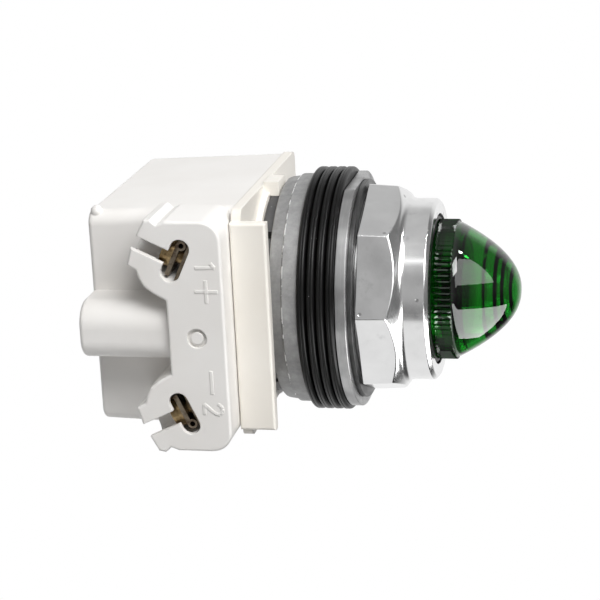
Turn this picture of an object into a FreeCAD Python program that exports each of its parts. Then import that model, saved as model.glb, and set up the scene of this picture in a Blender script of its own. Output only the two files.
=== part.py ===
import FreeCAD, Part
import math
import os

# Panel pilot light, 30 mm pattern, with a full voltage light module.
# Millimetres. +X runs along the axis, out of the panel towards the lens.
# +Z is up, and the wiring terminals face -Y.
# The origin is the centre of the panel seat: the front face of the gaskets.

# Running clearances between pieces
thread_gap = 0.08
screw_gap = 0.05
loose_gap = 0.3

# Operator: a zinc casting with neck, flange and threaded barrel
gasket_count = 4
gasket_thickness = 1.65
gasket_radius = 21.85
gasket_edge = 0.5
flange_radius = 20.6
flange_thickness = 5.2
flange_parting = 3.6
flange_draft = 0.3
neck_length = 2.1
neck_radius = 18.8
neck_edge = 0.4
neck_slot_width = 1.4
neck_slot_depth = 2.2
barrel_radius = 14.9
barrel_reach = 13.1
barrel_wall = 3.55
bore_depth = 10.0
socket_bore_radius = 8.6

# Washers and ring nut in front of the panel
trim_thickness = 1.9
trim_border = 1.6
trim_flat_half_angle = 20.0
trim_key_half_angle = 9.0
trim_key_angle = 6.0
thrust_thickness = 0.8
thrust_border = 0.34
nut_step = 0.4
nut_step_wall = 2.4
nut_corner_wall = 4.28
nut_corner_draft = 0.33
nut_flat_length = 5.3
nut_cone_length = 1.6
nut_cone_height = 0.7
nut_collar_wall = 1.22
nut_collar_start = 7.6
nut_bevel = 0.6
nut_lip_gap = 0.2
nut_lip_depth = 2.0
nut_sides = 8

# Lens and its seal
seal_wall = 1.8
seal_root_wall = 1.3
seal_length = 2.8
seal_taper = 0.5
knurl_wall = 1.15
knurl_depth = 0.35
knurl_count = 72
knurl_length = 3.3
dome_length = 10.55
dome_base_wall = 0.55
dome_wall = 1.6
dome_steps = 6
dome_points = 8
dome_power = 2.15
skirt_length = 7.1
skirt_wall = 1.5

# Light module housing, a white moulding
module_length = 26.2
near_face = 20.5
far_face = 22.3
half_height_rear = 19.1
half_height_front = 20.1
wall = 1.8
edge_round = 2.4
rear_round = 0.8
bead_radius = 1.1

# Terminal block, which stands out of the near face
block_face = 31.0
block_root = 1.2
block_relief = 0.1
block_top = 20.3
block_corner = 3.5
block_edge = 0.5
waist_depth = 10.0
waist_half = 6.5
slot_setback = 8.0
slot_height = 13.5
slot_tilt = 25.0
slot_width = 3.4
slot_length = 7.8
skin = 1.0
pocket_out = 3.2
pocket_depth = 8.6
driver_slit = 2.5
driver_reach = 12.0
screw_depth = 4.0
relief_reach = 4.2
dimple_setback = 5.0
dimple_radius = 1.7
dimple_depth = 0.7
dimple_ring = 0.6
dimple_cap = 0.15

# Hood on the near face, at mid height
hood_top = 5.2
hood_bottom = 4.8
hood_reach = 9.3
hood_round_above = 4.3
hood_round_below = 3.4
hood_end_round = 0.8
hood_gap_front = 1.0

# Terminal metal
strip_thickness = 0.8
strip_face = 0.9
strip_half = 3.6
tail_width = 3.6
tail_reach = 14.2
foot_low = 8.4
foot_high = 12.0
foot_thickness = 1.2
saddle_thickness = 0.8
saddle_back = 0.15
saddle_half = 3.3
saddle_inner = 2.6
saddle_curl = 0.85
saddle_curl_bore = 0.45
screw_radius = 1.45
screw_head_radius = 2.7
screw_head_length = 2.0
screw_shank = 4.6
screw_slot_width = 0.8
screw_slot_depth = 0.9

# Front plate, an ivory moulding
plate_thickness = 1.7
plate_half_height = 20.3
plate_near = 23.2
plate_corner = 1.6
rail_thickness = 1.8
rail_half = 18.45
rail_length = 4.6
rail_round = 0.5
boss_radius = 19.5
boss_length = 1.0
lug_width = 5.0
lug_height = 2.0
lug_length = 1.8

# Module mounting screws
fixing_height = 14.6
fixing_radius = 1.75
fixing_hole = 2.0
fixing_column = 3.6
fixing_head_radius = 3.1
fixing_head_length = 2.4
fixing_slot = 1.0
fixing_well_radius = 3.5
fixing_well_depth = 3.0
fixing_engagement = 4.2
fixing_spare = 0.6

# Lamp, socket and circuit board
board_gap = 4.4
board_thickness = 1.6
board_half_width = 16.5
board_half_height = 12.3
post_radius = 1.5
post_y = 13.6
post_z = 9.4
insulator_flange_radius = 8.4
insulator_floor = 1.2
insulator_lip = 1.4
insulator_radius = 7.4
insulator_reach = 4.3
shell_wall = 0.6
shell_length = 10.2
shell_seat_depth = 1.4
lamp_base_radius = 4.6
lamp_clearance = 1.0
lamp_base_length = 10.4
lamp_tip_radius = 1.6
lamp_tip_length = 0.9
pin_radius = 0.9
pin_length = 0.75
pin_setback = 4.7
lamp_push = 0.8
bayonet_turn = 35.0
bulb_radius = 4.9
bulb_length = 13.0
plunger_radius = 1.6
plunger_length = 3.0
collar_radius = 2.6
collar_length = 0.8
spring_coils = 4
spring_wire = 0.22
spring_radius = 1.95
spring_gap = 0.1
resistor_radius = 2.1
resistor_length = 10.0
resistor_round = 0.5
resistor_y = 9.0
lead_reach = 1.6
lead_radius = 0.3
foot_radius = 0.5
rectifier_side = 8.0
rectifier_height = 3.6
rectifier_chamfer = 0.5


def vec(x, y, z):
    return FreeCAD.Vector(x, y, z)


AXIS = vec(1, 0, 0)
CENTRE = vec(0, 0, 0)


def rod(x0, x1, radius, y=0.0, z=0.0):
    """Solid cylinder along X between two stations."""
    return Part.makeCylinder(radius, x1 - x0, vec(x0, y, z), AXIS)


def tube(x0, x1, outer, inner, y=0.0, z=0.0):
    return rod(x0, x1, outer, y, z).cut(rod(x0, x1, inner, y, z))


def block(x0, x1, y0, y1, z0, z1):
    return Part.makeBox(x1 - x0, y1 - y0, z1 - z0, vec(x0, y0, z0))


def turned(points):
    """Solid turned about the X axis from a closed outline of (x, radius) points."""
    wire = Part.makePolygon([vec(x, 0, r) for x, r in points + points[:1]])
    return Part.Face(wire).revolve(CENTRE, AXIS, 360)


def polygon_wire(x, corner_radius, sides, first_angle):
    corners = []
    for k in range(sides + 1):
        a = math.radians(first_angle + 360.0 * k / sides)
        corners.append(vec(x, corner_radius * math.cos(a), corner_radius * math.sin(a)))
    return Part.makePolygon(corners)


def edges_where(shape, test):
    return [e for e in shape.Edges if test(e)]


def runs_along(edge, direction):
    """True for a straight edge parallel to a direction."""
    if not isinstance(edge.Curve, Part.Line):
        return False
    return abs(abs(edge.tangentAt(edge.FirstParameter).dot(direction)) - 1) < 0.02


def rounded(shape, radius, test):
    chosen = edges_where(shape, test)
    return shape.makeFillet(radius, chosen)


# Stations along the axis that several pieces share
flange_front = -gasket_count * gasket_thickness
flange_rear = flange_front - flange_thickness
neck_rear = flange_rear - neck_length
plate_front = neck_rear - boss_length
plate_rear = plate_front - plate_thickness
module_rear = plate_rear - module_length
block_front = plate_rear - block_relief
board_front = plate_rear - board_gap
board_rear = board_front - board_thickness
nut_rear = trim_thickness + thrust_thickness
nut_lip = barrel_reach + nut_lip_gap
nut_front = nut_lip + nut_lip_depth
nut_bore = barrel_radius + thread_gap
nut_corner_rear = nut_bore + nut_corner_wall
nut_corner_front = nut_corner_rear - nut_corner_draft
nut_collar_radius = nut_bore + nut_collar_wall
thrust_radius = nut_corner_rear + thrust_border
trim_radius = thrust_radius + trim_border
bore_radius = barrel_radius - barrel_wall
seal_radius = bore_radius + seal_wall
knurl_radius = bore_radius + knurl_wall
dome_base_radius = bore_radius + dome_base_wall
nut_opening = seal_radius + loose_gap
seal_rear = barrel_reach
knurl_rear = seal_rear + seal_length
dome_base = knurl_rear + knurl_length + 0.1
dome_tip = dome_base + dome_length
skirt_radius = bore_radius - thread_gap
skirt_rear = knurl_rear - skirt_length
insulator_rear = board_front
insulator_front = neck_rear + insulator_reach
shell_rear = insulator_front - shell_seat_depth
shell_inner = lamp_base_radius + thread_gap
shell_outer = shell_inner + shell_wall
lamp_rear = insulator_front + lamp_clearance
lamp_front = lamp_rear + lamp_base_length
plunger_front = lamp_rear - lamp_tip_length
plunger_rear = plunger_front - plunger_length
pin_station = lamp_rear + pin_setback
screw_y = -block_face + screw_depth
slot_x = block_front - slot_setback


def make_operator():
    """Neck, flange and barrel of the operator, one casting."""
    barrel = rod(flange_front, barrel_reach, barrel_radius)
    parting = flange_front - flange_parting
    flange = turned([
        (flange_rear, 0), (flange_rear, flange_radius - 2 * flange_draft),
        (parting, flange_radius - flange_draft), (parting, flange_radius),
        (flange_front, flange_radius), (flange_front, 0)])
    neck = rod(neck_rear, flange_rear, neck_radius)
    neck = neck.makeChamfer(neck_edge, edges_where(
        neck, lambda e: abs(e.CenterOfMass.x - neck_rear) < 0.01))
    for side in (-1, 1):
        notch = block(neck_rear, flange_rear, -neck_radius - 1, neck_slot_depth - neck_radius,
                      -neck_slot_width / 2, neck_slot_width / 2)
        notch.rotate(CENTRE, AXIS, -side * 45)
        neck = neck.cut(notch)
    body = neck.fuse([flange, barrel]).removeSplitter()
    body = body.cut(rod(neck_rear, barrel_reach, socket_bore_radius))
    body = body.cut(rod(barrel_reach - bore_depth, barrel_reach, bore_radius))
    for side in (-1, 1):
        hole = rod(neck_rear, neck_rear + fixing_engagement + fixing_spare,
                   fixing_radius + screw_gap, z=side * fixing_height)
        body = body.cut(hole)
    return body


def make_gasket(index):
    """One rubber gasket of the stack, with rounded outer edges."""
    x0 = flange_front + index * gasket_thickness
    ring = tube(x0, x0 + gasket_thickness, gasket_radius, barrel_radius + loose_gap)
    return rounded(ring, gasket_edge, lambda e: e.Length > 6 * gasket_radius)


def flat_cut(radius, half_angle, angle):
    """Block that cuts a flat on a ring, turned about the axis from straight up."""
    height = radius * math.cos(math.radians(half_angle))
    cutter = block(-1, trim_thickness + 1, -radius, radius, height, radius + 1)
    cutter.rotate(CENTRE, AXIS, angle)
    return cutter


def make_trim_washer():
    """Trim washer with a flat on top and a short key flat on the near side."""
    ring = tube(0, trim_thickness, trim_radius, barrel_radius + loose_gap)
    ring = ring.cut(flat_cut(trim_radius, trim_flat_half_angle, 0))
    return ring.cut(flat_cut(trim_radius, trim_key_half_angle, 90 - trim_key_angle))


def make_thrust_washer():
    return tube(trim_thickness, nut_rear, thrust_radius, barrel_radius + loose_gap)


def make_ring_nut():
    """Octagon drawn in towards a round collar by a cone and a hollow radius."""
    collar_start = nut_rear + nut_collar_start
    flats_end = nut_rear + nut_step + nut_flat_length
    cone_end = flats_end + nut_cone_length
    prism_end = collar_start + 1.0
    growth = (nut_corner_rear - nut_corner_front) / nut_flat_length
    end_corner = nut_corner_rear - growth * (prism_end - nut_rear - nut_step)
    octagon = Part.makeLoft([
        polygon_wire(nut_rear + nut_step, nut_corner_rear, nut_sides, 90),
        polygon_wire(prism_end, end_corner, nut_sides, 90)], True, True)
    step = rod(nut_rear, nut_rear + nut_step, nut_bore + nut_step_wall)
    collar = rod(collar_start, nut_front, nut_collar_radius)
    rough = octagon.fuse([step, collar])
    cone_root = nut_collar_radius + nut_cone_height
    mid = vec((cone_end + collar_start) / 2 - 0.12, 0, nut_collar_radius + 0.2)
    outline = [
        Part.makePolygon([vec(nut_rear, 0, 0), vec(nut_rear, 0, nut_corner_rear + 1),
                          vec(flats_end, 0, nut_corner_front),
                          vec(cone_end, 0, cone_root)]),
        Part.Arc(vec(cone_end, 0, cone_root), mid,
                 vec(collar_start, 0, nut_collar_radius)).toShape(),
        Part.makePolygon([vec(collar_start, 0, nut_collar_radius),
                          vec(nut_front - nut_bevel, 0, nut_collar_radius),
                          vec(nut_front, 0, nut_collar_radius - nut_bevel),
                          vec(nut_front, 0, 0), vec(nut_rear, 0, 0)])]
    edges = [e for piece in outline for e in piece.Edges]
    envelope = Part.Face(Part.Wire(edges)).revolve(CENTRE, AXIS, 360)
    nut = rough.common(envelope)
    nut = nut.cut(rod(nut_rear, nut_lip, nut_bore))
    return nut.cut(rod(nut_rear, nut_front, nut_opening))


def make_lens_seal():
    x0, x1 = seal_rear, knurl_rear
    inner = skirt_radius + loose_gap
    root = bore_radius + seal_root_wall
    return turned([
        (x0, inner), (x0, root), (x1 - 2 * seal_taper, root),
        (x1 - seal_taper, seal_radius), (x1, seal_radius - 0.5), (x1, inner)])


def dome_radius(x):
    """Radius of the dome at a station: blunt at the tip and nearly straight at the base."""
    share = max(dome_tip - x, 0.0) / dome_length
    return dome_base_radius * share ** (1 / dome_power)


def make_dome():
    """Bullet dome turned from a smooth curve through points of its outline."""
    points = []
    for k in range(dome_points + 1):
        share = k / dome_points
        points.append(vec(dome_tip - dome_length * share ** dome_power, 0,
                          dome_base_radius * share))
    slope = dome_power * dome_length / dome_base_radius
    curve = Part.BSplineCurve()
    curve.interpolate(Points=points, InitialTangent=vec(0, 0, 1),
                      FinalTangent=vec(-slope, 0, 1))
    back = Part.makePolygon([points[-1], vec(dome_base, 0, 0), points[0]])
    profile = Part.Face(Part.Wire([curve.toShape()] + back.Edges))
    return profile.revolve(CENTRE, AXIS, 360)


def make_knurl():
    """Ring with straight grooves all round."""
    points = []
    for k in range(2 * knurl_count + 1):
        r = knurl_radius - (k % 2) * knurl_depth
        a = math.pi * k / knurl_count
        points.append(vec(knurl_rear, r * math.cos(a), r * math.sin(a)))
    return Part.Face(Part.makePolygon(points)).extrude(vec(knurl_length, 0, 0))


def make_lens():
    """Green lens: threaded skirt, knurled ring and hollow bullet dome, one moulding."""
    skirt = rod(skirt_rear, knurl_rear, skirt_radius)
    neck = rod(knurl_rear, dome_base, dome_radius(dome_base))
    lens = skirt.fuse([make_knurl(), neck, make_dome()])
    start = knurl_rear + dome_wall
    pitch = (dome_tip - dome_wall - start) / dome_steps
    inner = skirt_radius - skirt_wall
    hollow = [(skirt_rear, 0.0), (skirt_rear, inner)]
    for k in range(dome_steps):
        x = start + k * pitch
        hollow.append((x, inner))
        inner = min(inner, dome_radius(x + pitch) - dome_wall)
        hollow.append((x, inner))
    hollow += [(start + dome_steps * pitch, inner), (start + dome_steps * pitch, 0.0)]
    return lens.cut(turned(hollow))


def tilted(shape, side):
    """Move a shape from slot coordinates to the upper or the lower terminal.

    In slot coordinates -X points out along the screw and Z runs up the slot.
    """
    if side < 0:
        shape = shape.mirror(CENTRE, vec(0, 0, 1))
    shape = shape.copy()
    shape.rotate(CENTRE, vec(0, 1, 0), side * slot_tilt)
    shape.translate(vec(slot_x, 0, side * slot_height))
    return shape


def across(y0, y1, radius, x, z):
    """Cylinder along Y between two stations."""
    return Part.makeCylinder(radius, y1 - y0, vec(x, y0, z), vec(0, 1, 0))


def slot_pocket(side):
    """Everything that is taken out of the block for one terminal."""
    half = slot_width / 2
    straight = slot_length / 2 - half
    face = -block_face - 1
    floor = -block_face + pocket_depth
    mouth = block(-half, half, face, floor, -straight, straight)
    ends = [across(face, floor, half, 0, z) for z in (-straight, straight)]
    deep = block(-pocket_out, half, -block_face + skin, floor, -slot_length / 2, slot_length / 2)
    way_out = pocket_out + driver_reach
    driver = rod(-way_out, -pocket_out + 0.1, screw_head_radius + loose_gap, screw_y)
    slit = block(-way_out, 0, face, screw_y, -driver_slit / 2, driver_slit / 2)
    relief = rod(0, relief_reach, screw_radius + loose_gap, screw_y)
    tail = block(strip_face - 0.1, half, floor - 0.1, -near_face + wall + 1,
                 -tail_width / 2 - 0.2, tail_width / 2 + 0.2)
    return tilted(mouth.fuse(ends + [deep, driver, slit, relief, tail]), side)


def block_outline():
    """Half outline (x, z) of the terminal block, from its waist round to the front.

    Distances are set back from the block's front. The lips on both sides of the
    driver opening follow the tilt of the slot.
    """
    steps = [(waist_depth, waist_half), (12.3, 7.8), (13.8, 9.0), (14.5, 10.4), (14.9, 11.8),
             (16.4, 12.7), (15.6, 15.6), (14.1, 18.5), (13.0, 20.5), (11.8, 20.7),
             (10.8, 19.8), (9.5, block_top)]
    return [(block_front - back, z) for back, z in steps]


def make_terminal_block():
    half = block_outline()
    lower = [(x, -z) for x, z in reversed(half)]
    ring = half + [(block_front, block_top), (block_front, -block_top)] + lower
    wire = Part.makePolygon([vec(x, -block_face, z) for x, z in ring + ring[:1]])
    solid = Part.Face(wire).extrude(vec(0, block_face - near_face + block_root, 0))
    solid = rounded(solid, block_corner, lambda e: runs_along(e, vec(0, 1, 0))
                    and e.CenterOfMass.x > block_front - 0.1)
    return rounded(solid, block_edge, lambda e: abs(e.CenterOfMass.y + block_face) < 0.01)


def make_hood():
    """Hood on the near face, a bar with wide rounds along its outer edges."""
    outer = -near_face - hood_reach
    inside = -near_face + block_root
    hood = block(module_rear, module_rear + module_length - hood_gap_front, outer, inside,
                 -hood_bottom, hood_top)
    for side, radius in ((1, hood_round_above), (-1, hood_round_below)):
        hood = rounded(hood, radius, lambda e: runs_along(e, AXIS)
                       and e.CenterOfMass.y < outer + 0.01 and side * e.CenterOfMass.z > 0)
    return rounded(hood, hood_end_round, lambda e: abs(e.CenterOfMass.x - module_rear) < 0.01
                   and e.CenterOfMass.y < inside - 0.1)


def drafted_box(x0, x1, y0, y1, half0, half1):
    """Box along X whose height grows from one end to the other."""
    ends = []
    for x, half in ((x0, half0), (x1, half1)):
        corners = [vec(x, y0, -half), vec(x, y1, -half), vec(x, y1, half), vec(x, y0, half)]
        ends.append(Part.makePolygon(corners + corners[:1]))
    return Part.makeLoft(ends, True, True)


def make_housing():
    """Module housing: drafted box, terminal block and hood moulded in one."""
    shell = drafted_box(module_rear, plate_rear, -near_face, far_face,
                        half_height_rear, half_height_front)
    shell = rounded(shell, edge_round, lambda e: abs(e.tangentAt(e.FirstParameter).x) > 0.9)
    shell = rounded(shell, rear_round, lambda e: abs(e.CenterOfMass.x - module_rear) < 0.01)
    bead = Part.makeSphere(bead_radius, vec(module_rear + 1.4, -near_face + 1.6,
                                            half_height_rear - 0.2))
    shell = shell.fuse([make_terminal_block(), make_hood(), bead])
    shell = shell.cut(drafted_box(module_rear + wall, plate_rear + 1, -near_face + wall,
                                  far_face - wall, half_height_rear - wall,
                                  half_height_front - wall))
    for side in (-1, 1):
        z = side * fixing_height
        shell = shell.fuse(rod(module_rear + wall / 2, plate_rear, fixing_column, z=z))
        shell = shell.cut(rod(module_rear - 1, module_rear + fixing_well_depth,
                              fixing_well_radius, z=z))
        shell = shell.cut(rod(module_rear - 1, plate_rear + 1, fixing_hole, z=z))
        shell = shell.cut(slot_pocket(side))
    x = block_front - dimple_setback
    shell = shell.cut(across(-block_face - 1, -block_face + dimple_depth, dimple_radius, x, 0))
    cap = across(-block_face + dimple_cap, -block_face + dimple_depth + 0.5,
                 dimple_radius - dimple_ring, x, 0)
    return shell.fuse(cap).removeSplitter()


def make_front_plate():
    """Plate that closes the module, with its rail, neck boss and locating lug."""
    plate = block(plate_rear, plate_front, -plate_near, far_face,
                  -plate_half_height, plate_half_height)
    plate = rounded(plate, plate_corner, lambda e: runs_along(e, AXIS))
    outer = -plate_near - rail_thickness
    rail = block(plate_rear, plate_front + rail_length, outer, -plate_near + plate_thickness,
                 -rail_half, rail_half)
    rail = rail.cut(block(plate_front, plate_front + rail_length + 1, -plate_near,
                          -plate_near + plate_thickness + 1, -rail_half, rail_half))
    rail = rounded(rail, rail_round, lambda e: abs(e.CenterOfMass.y - outer) < 0.01)
    boss = rod(plate_front, neck_rear, boss_radius)
    lug = block(plate_front, neck_rear + lug_length, -lug_width, 0,
                neck_radius - lug_height, neck_radius + lug_height)
    lug = lug.cut(rod(neck_rear, neck_rear + lug_length, neck_radius + screw_gap))
    shape = plate.fuse([rail, boss, lug])
    shape = shape.cut(rod(plate_rear - 1, neck_rear + 1, insulator_radius + loose_gap))
    for side in (-1, 1):
        shape = shape.cut(rod(plate_rear - 1, neck_rear + 1, fixing_hole,
                              z=side * fixing_height))
        for y in (-post_y, post_y):
            shape = shape.fuse(rod(board_front, plate_rear, post_radius, y, side * post_z))
    return shape.removeSplitter()


def make_insulator():
    """Moulded seat of the lamp socket, clamped between the board and the plate."""
    body = rod(insulator_rear, plate_rear, insulator_flange_radius)
    body = body.fuse(rod(plate_rear, insulator_front, insulator_radius))
    body = body.cut(rod(insulator_rear + insulator_floor, insulator_front - insulator_lip,
                        collar_radius + thread_gap))
    body = body.cut(rod(insulator_rear + insulator_floor, insulator_front,
                        plunger_radius + thread_gap))
    return body.cut(tube(shell_rear, insulator_front, shell_outer, shell_inner))


def make_socket_shell():
    """Metal shell with two bayonet slots: straight in, across, and back to the seat."""
    front = shell_rear + shell_length
    shell = tube(shell_rear, front, shell_outer, shell_inner)
    half = pin_radius + loose_gap
    low = pin_station - lamp_push - half
    for side in (-1, 1):
        inside, outside = sorted((side * (shell_inner - 1), side * (shell_outer + 1)))
        ways = [(0, pin_station + half), (bayonet_turn / 2, low + 2 * half), (bayonet_turn, front)]
        for angle, high in ways:
            way = block(low, high, inside, outside, -half, half)
            way.rotate(CENTRE, AXIS, angle)
            shell = shell.cut(way)
    return shell


def make_plunger():
    stem = rod(plunger_rear, plunger_front, plunger_radius)
    return stem.fuse(rod(plunger_rear, plunger_rear + collar_length,
                         collar_radius)).removeSplitter()


def make_spring():
    """Contact spring, a helix that stands on the insulator's floor."""
    rear = insulator_rear + insulator_floor + spring_wire
    front = plunger_rear - lamp_push - spring_gap - spring_wire
    helix = Part.makeHelix((front - rear) / spring_coils, front - rear, spring_radius)
    section = Part.Wire(Part.makeCircle(spring_wire, vec(spring_radius, 0, 0), vec(0, 1, 0)))
    coil = Part.Wire(helix).makePipeShell([section], True, True)
    coil.rotate(CENTRE, vec(0, 1, 0), 90)
    coil.translate(vec(rear, 0, 0))
    return coil


def make_lamp_base():
    """Metal lamp base with its centre contact and two bayonet pins."""
    base = rod(lamp_rear, lamp_front, lamp_base_radius)
    tip = rod(lamp_rear - lamp_tip_length, lamp_rear, lamp_tip_radius)
    reach = lamp_base_radius + pin_length
    pins = across(-reach, reach, pin_radius, pin_station, 0)
    return base.fuse([tip, pins]).removeSplitter()


def make_lamp_bulb():
    shoulder = lamp_front + bulb_length - bulb_radius
    body = rod(lamp_front, shoulder, bulb_radius)
    nose = Part.makeSphere(bulb_radius, vec(shoulder, 0, 0))
    nose = nose.cut(rod(shoulder - 2 * bulb_radius, shoulder, bulb_radius + 1))
    return body.fuse(nose).removeSplitter()


def make_board():
    """Circuit board, notched round the two screw columns."""
    board = block(board_rear, board_front, -board_half_width, board_half_width,
                  -board_half_height, board_half_height)
    board = rounded(board, 1.0, lambda e: runs_along(e, AXIS))
    for side in (-1, 1):
        board = board.cut(rod(board_rear - 1, board_front + 1, fixing_column + loose_gap,
                              z=side * fixing_height))
    return board


def make_resistor(side):
    """Leaded resistor that lies on the board's rear face."""
    x = board_rear - resistor_radius
    y = side * resistor_y
    half = resistor_length / 2
    body = Part.makeCylinder(resistor_radius, resistor_length, vec(x, y, -half), vec(0, 0, 1))
    body = rounded(body, resistor_round, lambda e: e.Length > 6 * resistor_radius)
    reach = half + lead_reach
    leads = [Part.makeCylinder(lead_radius, 2 * reach, vec(x, y, -reach), vec(0, 0, 1))]
    for z in (-reach, reach):
        leads.append(rod(x - foot_radius, board_rear, foot_radius, y, z))
    return body.fuse(leads).removeSplitter()


def make_rectifier():
    half = rectifier_side / 2
    top = board_rear - rectifier_height
    case = block(top, board_rear, -half, half, -half, half)
    return case.makeChamfer(rectifier_chamfer,
                            edges_where(case, lambda e: abs(e.CenterOfMass.x - top) < 0.01))


def make_terminal_strip(side):
    """Terminal strip: clamping face in the slot, tail in to the board."""
    x1 = strip_face + strip_thickness
    near = -block_face + skin + loose_gap
    floor = -block_face + pocket_depth
    strip = block(strip_face, x1, near, floor, -strip_half, strip_half)
    strip = strip.fuse(block(strip_face, x1, floor, -tail_reach, -tail_width / 2, tail_width / 2))
    strip = strip.cut(rod(strip_face - 1, x1 + 1, screw_radius + screw_gap, screw_y))
    low, high = sorted((side * foot_low, side * foot_high))
    foot = block(board_rear - foot_thickness, board_rear, -board_half_width + 0.7,
                 -tail_reach + 0.6, low, high)
    return tilted(strip, side).fuse(foot).removeSplitter()


def make_saddle(side):
    """Clamping saddle with a curled edge, pulled in by the screw."""
    x1 = -saddle_back
    x0 = x1 - saddle_thickness
    near = -block_face + skin + loose_gap
    inner = screw_y + saddle_inner
    middle = x0 + saddle_curl
    curl_z = screw_radius + loose_gap / 2 + saddle_curl
    plate = block(x0, x1, near, inner, -saddle_half, curl_z)
    plate = plate.fuse(across(near, inner, saddle_curl, middle, curl_z))
    plate = plate.cut(across(near - 1, inner + 1, saddle_curl_bore, middle, curl_z))
    plate = plate.cut(rod(x0 - 1, x1 + 0.1, screw_radius + loose_gap, screw_y))
    return tilted(plate, side)


def make_terminal_screw(side):
    """Terminal screw with a slotted head; its shank passes saddle and strip."""
    seat = -saddle_back - saddle_thickness
    top = seat - screw_head_length
    head = rod(top, seat, screw_head_radius, screw_y)
    head = rounded(head, 0.3, lambda e: e.Length > 6 * screw_head_radius
                   and e.CenterOfMass.x < seat - 1)
    shank = rod(seat, seat + screw_shank, screw_radius, screw_y)
    over = screw_head_radius + 1
    slot = block(top, top + screw_slot_depth, screw_y - over, screw_y + over,
                 -screw_slot_width / 2, screw_slot_width / 2)
    slot.rotate(vec(0, screw_y, 0), AXIS, 30)
    return tilted(shank.fuse(head).cut(slot).removeSplitter(), side)


def make_mounting_screw(side):
    """Screw that runs through the module into the operator's neck."""
    z = side * fixing_height
    seat = module_rear + fixing_well_depth
    top = seat - fixing_head_length
    shank = rod(seat, neck_rear + fixing_engagement, fixing_radius, z=z)
    head = rod(top, seat, fixing_head_radius, z=z)
    head = rounded(head, 0.5, lambda e: e.Length > 6 * fixing_head_radius
                   and e.CenterOfMass.x < seat - 1)
    over = fixing_head_radius + 1
    slot = block(top, top + fixing_slot, -over, over, z - fixing_slot / 2, z + fixing_slot / 2)
    return shank.fuse(head).cut(slot).removeSplitter()


def write(name, shape):
    shape.exportStep("parts/" + name + ".step")
    print(name, round(shape.Volume, 1), len(shape.Solids), shape.isValid())


def main():
    os.makedirs("parts", exist_ok=True)
    write("module_housing", make_housing())
    write("module_front_plate", make_front_plate())
    write("operator_body", make_operator())
    for index in range(gasket_count):
        write("panel_gasket_%d" % (index + 1), make_gasket(index))
    write("trim_washer", make_trim_washer())
    write("thrust_washer", make_thrust_washer())
    write("ring_nut", make_ring_nut())
    write("lens_seal", make_lens_seal())
    write("lens", make_lens())
    write("socket_insulator", make_insulator())
    write("socket_shell", make_socket_shell())
    write("contact_plunger", make_plunger())
    write("contact_spring", make_spring())
    write("lamp_base", make_lamp_base())
    write("lamp_bulb", make_lamp_bulb())
    write("circuit_board", make_board())
    write("rectifier", make_rectifier())
    for number, side in ((1, 1), (2, -1)):
        write("resistor_%d" % number, make_resistor(side))
        write("terminal_strip_%d" % number, make_terminal_strip(side))
        write("clamp_saddle_%d" % number, make_saddle(side))
        write("terminal_screw_%d" % number, make_terminal_screw(side))
        write("mounting_screw_%d" % number, make_mounting_screw(side))


main()
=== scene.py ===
import bpy
import bmesh
import math
import numpy as np
from mathutils import Matrix, Vector


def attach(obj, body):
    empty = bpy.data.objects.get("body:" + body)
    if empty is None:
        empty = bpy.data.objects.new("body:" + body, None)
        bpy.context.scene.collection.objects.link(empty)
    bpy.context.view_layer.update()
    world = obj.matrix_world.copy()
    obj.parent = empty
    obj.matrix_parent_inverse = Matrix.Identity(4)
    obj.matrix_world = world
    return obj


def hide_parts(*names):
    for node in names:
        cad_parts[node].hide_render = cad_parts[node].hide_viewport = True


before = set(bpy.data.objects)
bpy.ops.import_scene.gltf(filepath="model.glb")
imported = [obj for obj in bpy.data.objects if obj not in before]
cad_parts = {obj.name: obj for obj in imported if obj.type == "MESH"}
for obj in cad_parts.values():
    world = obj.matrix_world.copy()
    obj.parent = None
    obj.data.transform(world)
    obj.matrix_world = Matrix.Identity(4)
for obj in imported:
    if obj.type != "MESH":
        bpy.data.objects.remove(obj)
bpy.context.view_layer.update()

# Camera: a long lens at the photograph's viewing angle, above the axis and turned
# towards the green lens. Angles are in degrees and lengths in millimetres. +X runs
# out of the panel towards the green lens, +Z is up, the terminals face -Y.
MM = 0.001
CAMERA_AZIMUTH = 12.27
CAMERA_ELEVATION = 16.81
CAMERA_ROLL = 2.8
CAMERA_LENS = 119.82
CAMERA_SENSOR = 36.0
CAMERA_DISTANCE = 362.85
CAMERA_TARGET = (-10.39, 0.0, -2.5)
CAMERA_CLIP = 10.0

azimuth, elevation, roll = np.radians([CAMERA_AZIMUTH, CAMERA_ELEVATION, CAMERA_ROLL])
away = Vector((math.sin(azimuth) * math.cos(elevation),
               -math.cos(azimuth) * math.cos(elevation), math.sin(elevation)))
level_right = Vector((math.cos(azimuth), math.sin(azimuth), 0))
level_up = away.cross(level_right)
right = math.cos(roll) * level_right - math.sin(roll) * level_up
up = math.sin(roll) * level_right + math.cos(roll) * level_up
stand = (Vector(CAMERA_TARGET) + away * CAMERA_DISTANCE) * MM
camera_data = bpy.data.cameras.new("camera")
camera_data.lens = CAMERA_LENS
camera_data.sensor_width = CAMERA_SENSOR
camera_data.clip_start = CAMERA_CLIP * MM
camera = bpy.data.objects.new("camera", camera_data)
bpy.context.scene.collection.objects.link(camera)
camera.matrix_world = Matrix((
    (right.x, up.x, away.x, stand.x),
    (right.y, up.y, away.y, stand.y),
    (right.z, up.z, away.z, stand.z),
    (0, 0, 0, 1)))
bpy.context.scene.camera = camera


# Light module housing: one moulding in white polycarbonate, with the terminal
# block and the hood on its near side. Polycarbonate leaves the mould satin, a
# little warm, with slow changes of shade and faint flow marks.

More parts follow.
